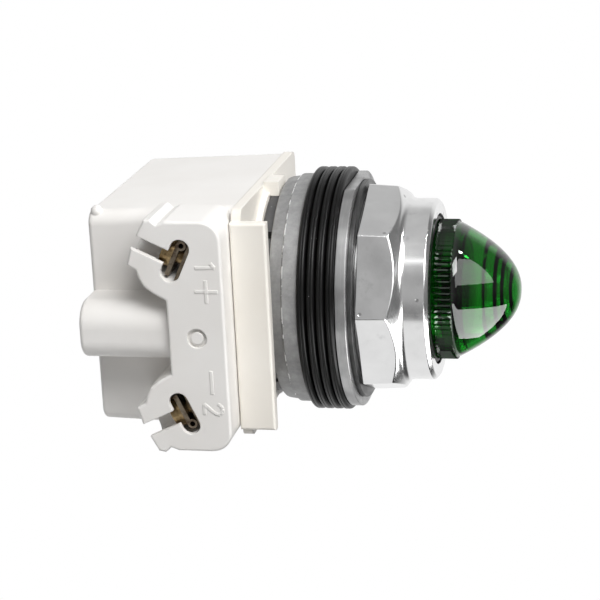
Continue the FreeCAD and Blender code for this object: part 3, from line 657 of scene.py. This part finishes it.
def chrome_plate():
    """Bright plating: clouds 7 mm across, stains 3 mm across, pits 1.9 mm apart.

    Polishing leaves lines 0.45 mm wide that run 11 mm round the nut, drawn wider than
    the real ones so that they show.
    """
    material, tree = blank_material("chrome_plate")
    place = add(tree, "ShaderNodeTexCoord", {})["Object"]
    cloud = add(tree, "ShaderNodeTexNoise",
                {"Vector": place, "Scale": features(7), "Detail": 4, "Roughness": 0.6})[0]
    colour = add(tree, "ShaderNodeValToRGB", {0: cloud}, [(0.35, "#DADADA"), (0.65, "#E4E4E4")])[0]
    patch = add(tree, "ShaderNodeTexNoise",
                {"Vector": place, "Scale": features(3), "Detail": 4, "Roughness": 0.7})[0]
    stain = add(tree, "ShaderNodeMapRange", {0: patch, 1: 0.60, 2: 0.74, 3: 0.0, 4: 0.28})[0]
    stained = add(tree, "ShaderNodeMix", {0: stain, 6: colour, 7: linear("#AAAAAA")},
                  data_type="RGBA")[2]
    pits = specks(tree, place, 1.9, (0.12, 0.20), 0.12)
    part = add(tree, "ShaderNodeMath", {0: pits, 1: 0.6}, operation="MULTIPLY")[0]
    pitted = add(tree, "ShaderNodeMix", {0: part, 6: stained, 7: linear("#909090")},
                 data_type="RGBA")[2]
    gloss = add(tree, "ShaderNodeMapRange", {0: cloud, 1: 0.35, 2: 0.65, 3: 0.16, 4: 0.22})[0]
    along = add(tree, "ShaderNodeMapping",
                {"Vector": round_the_axis(tree, place),
                 "Scale": (features(0.45), features(0.45), features(11))})[0]
    lines = add(tree, "ShaderNodeTexNoise", {"Vector": along, "Scale": 1.0, "Detail": 3})[0]
    swell = add(tree, "ShaderNodeTexNoise", {"Vector": place, "Scale": features(4)})[0]
    fine = add(tree, "ShaderNodeBump", {"Height": lines, "Distance": 0.004 * MM})[0]
    slow = add(tree, "ShaderNodeBump", {"Height": swell, "Distance": 0.015 * MM, "Normal": fine})[0]
    deep = add(tree, "ShaderNodeBump", {"Height": pits, "Distance": 0.03 * MM, "Normal": slow},
               invert=True)[0]
    shader = add(tree, "ShaderNodeBsdfPrincipled",
                 {"Base Color": pitted, "Roughness": gloss, "Normal": deep, "Metallic": 1.0})
    add(tree, "ShaderNodeOutputMaterial", {"Surface": shader[0]})
    return material


touch = octagon(np.zeros(1))[1]
corners = math.pi / 2 + np.arange(8) * math.pi / 4
corner_turn = corners[:, None] + touch * np.array([-1, -0.6, -0.25, 0.25, 0.6, 1])
nut_turn = turns(NUT_STEPS, corner_turn.ravel())
share = octagon(nut_turn)[0]
slope = (CORNER_REAR - CORNER_DRAFT - CONE_ROOT) / CONE_LENGTH
draft = CORNER_DRAFT / FLAT_LENGTH
flats_start = NUT_REAR + NUT_STEP
flats_end = flats_start + FLAT_LENGTH
cone_end = flats_end + CONE_LENGTH
bevel_x, bevel_r = NUT_FRONT - COLLAR_BEVEL, COLLAR - COLLAR_BEVEL
rear_r = share * CORNER_REAR
# The edge between flats and cone lies where their two straight lines (x, r) meet
edge_x = ((CORNER_REAR - CORNER_DRAFT + slope * flats_end
           - share * (CORNER_REAR + draft * flats_start)) / (slope - draft * share))
edge_r = share * (CORNER_REAR - draft * (edge_x - flats_start))
thread_x = np.linspace(NUT_LIP, NUT_REAR, NUT_THREAD_STEPS)[1:-1, None]
phase = ((thread_x - FLANGE_FRONT) / THREAD_PITCH + nut_turn / (2 * math.pi)) % 1.0
# From the rear step over flats, cone, hollow, collar and mouth to the thread in the bore
stages = [
    bend((NUT_REAR, NUT_STEP_RADIUS - 0.1), (NUT_REAR, NUT_STEP_RADIUS),
         (NUT_REAR + 0.1, NUT_STEP_RADIUS), 3),
    bend((flats_start, NUT_STEP_RADIUS), (flats_start, NUT_STEP_RADIUS),
         (flats_start, NUT_STEP_RADIUS + 0.05), 2),
    bend((flats_start, rear_r - REAR_EDGE), (flats_start, rear_r),
         (flats_start + REAR_EDGE, rear_r - draft * REAR_EDGE)),
    bend((edge_x - CONE_EDGE, edge_r + draft * CONE_EDGE), (edge_x, edge_r),
         (edge_x + CONE_EDGE, edge_r - slope * CONE_EDGE)),
    bend((cone_end - 0.15, CONE_ROOT + 0.15 * slope), (cone_end + 0.28, COLLAR + 0.02),
         (COLLAR_START + HOLLOW_REACH, COLLAR), 8),
    bend((bevel_x - 0.12, COLLAR), (bevel_x, COLLAR),
         (bevel_x + SMALL_EDGE, COLLAR - SMALL_EDGE)),
    bend((NUT_FRONT - SMALL_EDGE, bevel_r + SMALL_EDGE), (NUT_FRONT, bevel_r),
         (NUT_FRONT, bevel_r - 0.12)),
    bend((NUT_FRONT, NUT_OPENING + MOUTH_EDGE), (NUT_FRONT, NUT_OPENING),
         (NUT_FRONT - MOUTH_EDGE, NUT_OPENING)),
    bend((NUT_LIP, NUT_OPENING), (NUT_LIP, NUT_BORE), (NUT_LIP, NUT_BORE), 2),
    (thread_x + 0 * phase, NUT_BORE + NUT_THREAD * np.abs(2 * phase - 1) ** THREAD_POWER),
    bend((NUT_REAR, NUT_BORE), (NUT_REAR, NUT_BORE), (NUT_REAR, NUT_BORE + 0.05), 2)]
x = np.concatenate([rings[0] for rings in stages])
r = np.concatenate([rings[1] for rings in stages])
build("octagon_nut", *ringed(x, r, nut_turn), chrome_plate(), "nut", ["ring_nut"],
      "plated_nut", 32, True)


# Lens seal: a ring moulded in the same black rubber, pressed between the barrel's
# mouth and the lens. A raised lip near its front sits in the nut's opening.
SKIRT = 11.27
SEAL_INNER = SKIRT + 0.3
SEAL_RADIUS = 12.65
SEAL_REAR = BARREL_REACH + 0.01
SEAL_FRONT = 15.24
LIP_START = 14.6
LIP_X = 14.95
LIP_RADIUS = 13.14
outline = eased([
    (SEAL_REAR, SEAL_INNER, 0.1), (SEAL_REAR, SEAL_RADIUS, 0.1), (LIP_START, SEAL_RADIUS, 0.15),
    (LIP_X, LIP_RADIUS, 0.15), (SEAL_FRONT, SEAL_RADIUS + 0.01, 0.15),
    (SEAL_FRONT, SEAL_INNER, 0.1)])
build("seal_ring", *ringed(outline[:, :1], outline[:, 1:], even_turn), rubber, "seal",
      ["lens_seal"], "black_rubber", 40, True)


# Lens: one clear green polycarbonate moulding, a threaded skirt, a knurled ring
# and a hollow bullet dome with a stepped inside. The gloss is the mould's own, and
# the green deepens where light crosses the wall at a slant.
KNURLS = 72
KNURL_STEPS = 6
KNURL = 12.5
KNURL_DEPTH = 0.55
KNURL_POWER = 1.15
KNURL_REAR = 15.25
KNURL_FRONT = 18.75
DOME_BASE = 19.3
DOME_TIP = 29.85
DOME_RADIUS = 11.9
DOME_POWER = 2.15
DOME_WALL = 1.6
DOME_STEPS = 41
INNER_STEPS = 90
STEP_AT = np.array([23.5, 25.3, 26.4, 27.6])
STEP_EASE = 0.45
STEP_RISE = 0.2
SKIRT_REAR = 8.8
SKIRT_INNER = SKIRT - 1.5
SKIRT_THREAD = 0.22
SKIRT_PITCH = 1.0
SKIRT_STEPS = 40
RIB_STEPS = 24
RIB_HEIGHT = 0.06
INSIDE_START = KNURL_REAR + DOME_WALL


def green_polycarbonate():
    """Gloss green, deeper in the thick ring and skirt: flow lines 8 mm apart, slight haze.

    The plastic also takes up light along its way through the wall, so edges look darker.
    """
    material, tree = blank_material("green_polycarbonate")
    place = add(tree, "ShaderNodeTexCoord", {})["Object"]
    along = add(tree, "ShaderNodeMapping", {"Vector": place, "Scale": (1, 0.3, 0.3)})[0]
    flow = add(tree, "ShaderNodeTexNoise", {"Vector": along, "Scale": features(8)})[0]
    thin = add(tree, "ShaderNodeValToRGB", {0: flow}, [(0.35, "#36AC4A"), (0.7, "#3FB653")])[0]
    station = add(tree, "ShaderNodeSeparateXYZ", {0: place})[0]
    thick = add(tree, "ShaderNodeMapRange",
                {0: station, 1: (KNURL_FRONT + 0.4) * MM, 2: (KNURL_FRONT + 2.0) * MM, 3: 1.0,
                 4: 0.0})[0]
    colour = add(tree, "ShaderNodeMix", {0: thick, 6: thin, 7: linear("#0A6A1E")},
                 data_type="RGBA")[2]
    rubbing = add(tree, "ShaderNodeTexNoise", {"Vector": place, "Scale": features(1.4)})[0]
    gloss = add(tree, "ShaderNodeMapRange", {0: rubbing, 1: 0.4, 2: 0.8, 3: 0.0, 4: 0.03})[0]
    fine = add(tree, "ShaderNodeBump", {"Height": flow, "Distance": 0.01 * MM})[0]
    shader = add(tree, "ShaderNodeBsdfPrincipled",
                 {"Base Color": colour, "Roughness": gloss, "Normal": fine, "IOR": 1.58,
                  "Transmission Weight": 1.0})
    depth = add(tree, "ShaderNodeVolumeAbsorption", {"Color": linear("#00BE3A"), "Density": 420})
    add(tree, "ShaderNodeOutputMaterial", {"Surface": shader[0], "Volume": depth[0]})
    return material


lens_turn = turns(KNURLS * KNURL_STEPS)
# Outside: the dome, whose distance from the tip grows as a power of the radius, and
# the knurled ring behind it
dome_share = np.linspace(0, 1, DOME_STEPS)
dome = np.stack([DOME_TIP - (DOME_TIP - DOME_BASE) * dome_share ** DOME_POWER,
                 DOME_RADIUS * dome_share], axis=1)
ring = eased([
    (KNURL_FRONT + 0.05, DOME_RADIUS + 0.02, 0.03), (KNURL_FRONT, DOME_RADIUS + 0.06, 0.02),
    (KNURL_FRONT, KNURL, 0.15), (KNURL_REAR, KNURL, 0.12), (KNURL_REAR, DOME_RADIUS, 0.02),
    (KNURL_REAR, SKIRT, 0.03)], 3)
# Skirt: its thread is a cosine wave along the axis
skirt_x = np.linspace(KNURL_REAR - 0.3, SKIRT_REAR + 0.2, SKIRT_STEPS)
wave = 0.5 - 0.5 * np.cos(2 * math.pi * skirt_x / SKIRT_PITCH)
skirt = np.stack([skirt_x, SKIRT - SKIRT_THREAD * wave], axis=1)
# Inside: fine ribs behind the ring, then a surface that follows the dome at its wall,
# with ring-shaped steps: the radius drops at each and grows back up to the next
rib_x = np.linspace(KNURL_REAR - 1.0, INSIDE_START - 0.1, RIB_STEPS)
ribs = np.stack([rib_x, SKIRT_INNER + RIB_HEIGHT * (np.arange(RIB_STEPS) % 2)], axis=1)
inner_tip = DOME_TIP - DOME_WALL
inner_share = np.linspace(1, 0.03, INNER_STEPS)
even_x = inner_tip - (inner_tip - INSIDE_START) * inner_share ** DOME_POWER
step_x = STEP_AT[:, None] + STEP_EASE * np.array([-0.5, 0.5])
inner_x = np.union1d(even_x, step_x)
from_tip = (inner_tip - inner_x) / (inner_tip - DOME_BASE)
inner_r = (DOME_RADIUS - DOME_WALL) * from_tip ** (1 / DOME_POWER)
rise = np.interp(inner_x, np.concatenate([[INSIDE_START], step_x.ravel(), [inner_tip]]),
                 np.concatenate([[0], np.tile([STEP_RISE, -STEP_RISE], len(STEP_AT)), [0]]))
inner = np.stack([inner_x, np.minimum(inner_r, SKIRT_INNER) + rise], axis=1)
skirt_end = [[SKIRT_REAR, SKIRT - 0.3], [SKIRT_REAR, SKIRT_INNER]]
outline = np.concatenate([dome, ring, skirt, skirt_end, ribs, inner, [[inner_tip, 0.0]]])
x, r = outline[:, :1], outline[:, 1:] + np.zeros(len(lens_turn))
# Each groove is a V: the distance from the tooth's crest, 0 to 1, rounded a little at the crest
groove = np.abs((lens_turn * KNURLS / math.pi) % 2 - 1) ** KNURL_POWER
knurled = (r > DOME_RADIUS + 0.2) & (x > KNURL_REAR - 0.01) & (x < KNURL_FRONT + 0.01)
r = np.where(knurled, r - KNURL_DEPTH * groove, r)
build("bullet_lens", *ringed(x, r, lens_turn, closed=False), green_polycarbonate(), "lens_cap",
      ["lens"], "green_lens", 28, False)


# Table: a plain sheet of pale paper below the object. It is white to the eye and in
# reflections, and only the light that it throws back reaches the object.
TABLE = -140.0
TABLE_LEFT, TABLE_RIGHT, TABLE_NEAR, TABLE_FAR = -900.0, 25.0, -330.0, 1500.0


def white_to(tree, output, rays, shader):
    """White of strength 1 for the named kinds of ray, and the shader for the rest."""
    path = add(tree, "ShaderNodeLightPath", {})
    chosen = path[rays[0]]
    for ray in rays[1:]:
        chosen = add(tree, "ShaderNodeMath", {0: chosen, 1: path[ray]}, operation="MAXIMUM")[0]
    white = add(tree, "ShaderNodeEmission", {"Strength": 1.0})[0]
    blend = add(tree, "ShaderNodeMixShader", {0: chosen, 1: shader, 2: white})[0]
    add(tree, output, {"Surface": blend})


def pale_paper():
    """Pale paper: shade drifts by a percent over 300 mm."""
    material, tree = blank_material("pale_paper")
    place = add(tree, "ShaderNodeTexCoord", {})["Object"]
    drift = add(tree, "ShaderNodeTexNoise", {"Vector": place, "Scale": features(300)})[0]
    colour = add(tree, "ShaderNodeValToRGB", {0: drift}, [(0.3, "#ECECEC"), (0.7, "#EFEFEF")])[0]
    shader = add(tree, "ShaderNodeBsdfPrincipled", {"Base Color": colour, "Roughness": 0.8})[0]
    white_to(tree, "ShaderNodeOutputMaterial",
             ["Is Camera Ray", "Is Glossy Ray", "Is Transmission Ray"], shader)
    return material


table_mesh = bpy.data.meshes.new("table")
table_mesh.from_pydata([(x * MM, y * MM, TABLE * MM) for x, y in (
    (TABLE_LEFT, TABLE_NEAR), (TABLE_RIGHT, TABLE_NEAR), (TABLE_RIGHT, TABLE_FAR),
    (TABLE_LEFT, TABLE_FAR))], [], [(0, 1, 2, 3)])
table_mesh.materials.append(pale_paper())
table = bpy.data.objects.new("table", table_mesh)
bpy.context.scene.collection.objects.link(table)


# Studio: white walls behind the object, and a grey room in front that is dark low
# down and dimmer to the right. Softboxes stand high up in front and to the right, and
# a card low in front gives reflections but no other light.
AMBIENT = 0.30
world = bpy.data.worlds.new("studio")
bpy.context.scene.world = world
world.use_nodes = True
room = world.node_tree
room.nodes.clear()
way = add(room, "ShaderNodeTexCoord", {})["Generated"]
split = add(room, "ShaderNodeSeparateXYZ", {0: way})
height = add(room, "ShaderNodeMapRange", {0: split[2], 1: -1.0, 2: 1.0})[0]
depth = add(room, "ShaderNodeMapRange", {0: split[1], 1: -1.0, 2: 1.0})[0]
behind = add(room, "ShaderNodeValToRGB", {0: depth}, [(0.80, 0.0), (0.93, 1.0)])[0]
in_front = add(room, "ShaderNodeValToRGB", {0: height},
               [(0.25, 0.08), (0.34, 0.24), (0.42, 0.28), (0.54, 0.50), (0.64, 0.50), (0.74, 0.41),
                (0.93, 0.62)])[0]
at_back = add(room, "ShaderNodeValToRGB", {0: height},
              [(0.50, 1.0), (0.78, 1.0), (0.93, 0.62)])[0]
aside = add(room, "ShaderNodeMapRange", {0: split[0], 1: 0.1, 2: 0.6, 3: 1.0, 4: 0.45})[0]
dimmed = add(room, "ShaderNodeVectorMath", {0: in_front, "Scale": aside}, operation="SCALE")[0]
walls = add(room, "ShaderNodeMix", {0: behind, 6: dimmed, 7: at_back}, data_type="RGBA")[2]
# Reflections show the room at full strength, and its other light is AMBIENT of that
mirrored = add(room, "ShaderNodeLightPath", {})["Is Glossy Ray"]
level = add(room, "ShaderNodeMath", {0: mirrored, 1: 1 - AMBIENT, 2: AMBIENT},
            operation="MULTIPLY_ADD")[0]
light = add(room, "ShaderNodeBackground", {"Color": walls, "Strength": level})[0]
white_to(room, "ShaderNodeOutputWorld", ["Is Camera Ray", "Is Transmission Ray"], light)


def softbox(name, azimuth, elevation, distance, aim, width, height, radiance):
    """Rectangular lamp in a direction from a point; azimuth 0 is -Y and 90 is +X."""
    a, e = math.radians(azimuth), math.radians(elevation)
    way = Vector((math.sin(a) * math.cos(e), -math.cos(a) * math.cos(e), math.sin(e)))
    data = bpy.data.lights.new(name, "AREA")
    data.shape = "RECTANGLE"
    data.size = width * MM
    data.size_y = height * MM
    data.energy = radiance * math.pi * data.size * data.size_y
    lamp = bpy.data.objects.new(name, data)
    bpy.context.scene.collection.objects.link(lamp)
    lamp.location = (Vector(aim) + way * distance) * MM
    lamp.rotation_euler = way.to_track_quat("Z", "Y").to_euler()
    lamp.visible_camera = False
    return lamp


softbox("front_box", 36, 50, 700, (0, 0, 0), 400, 320, 10.5)
softbox("right_box", 58, 33, 600, (25, 0, 0), 500, 370, 2.9)
softbox("left_box", -14, 50, 600, (8, 0, 0), 180, 34, 1.9)
softbox("spot", 96, 53, 600, (25, 0, 0), 30, 30, 130)
low_card = softbox("low_card", 100, -90, 60, (98, -191, 0), 100, 418, 5.2)
low_card.visible_diffuse = False

bpy.context.scene.view_settings.view_transform = "Standard"
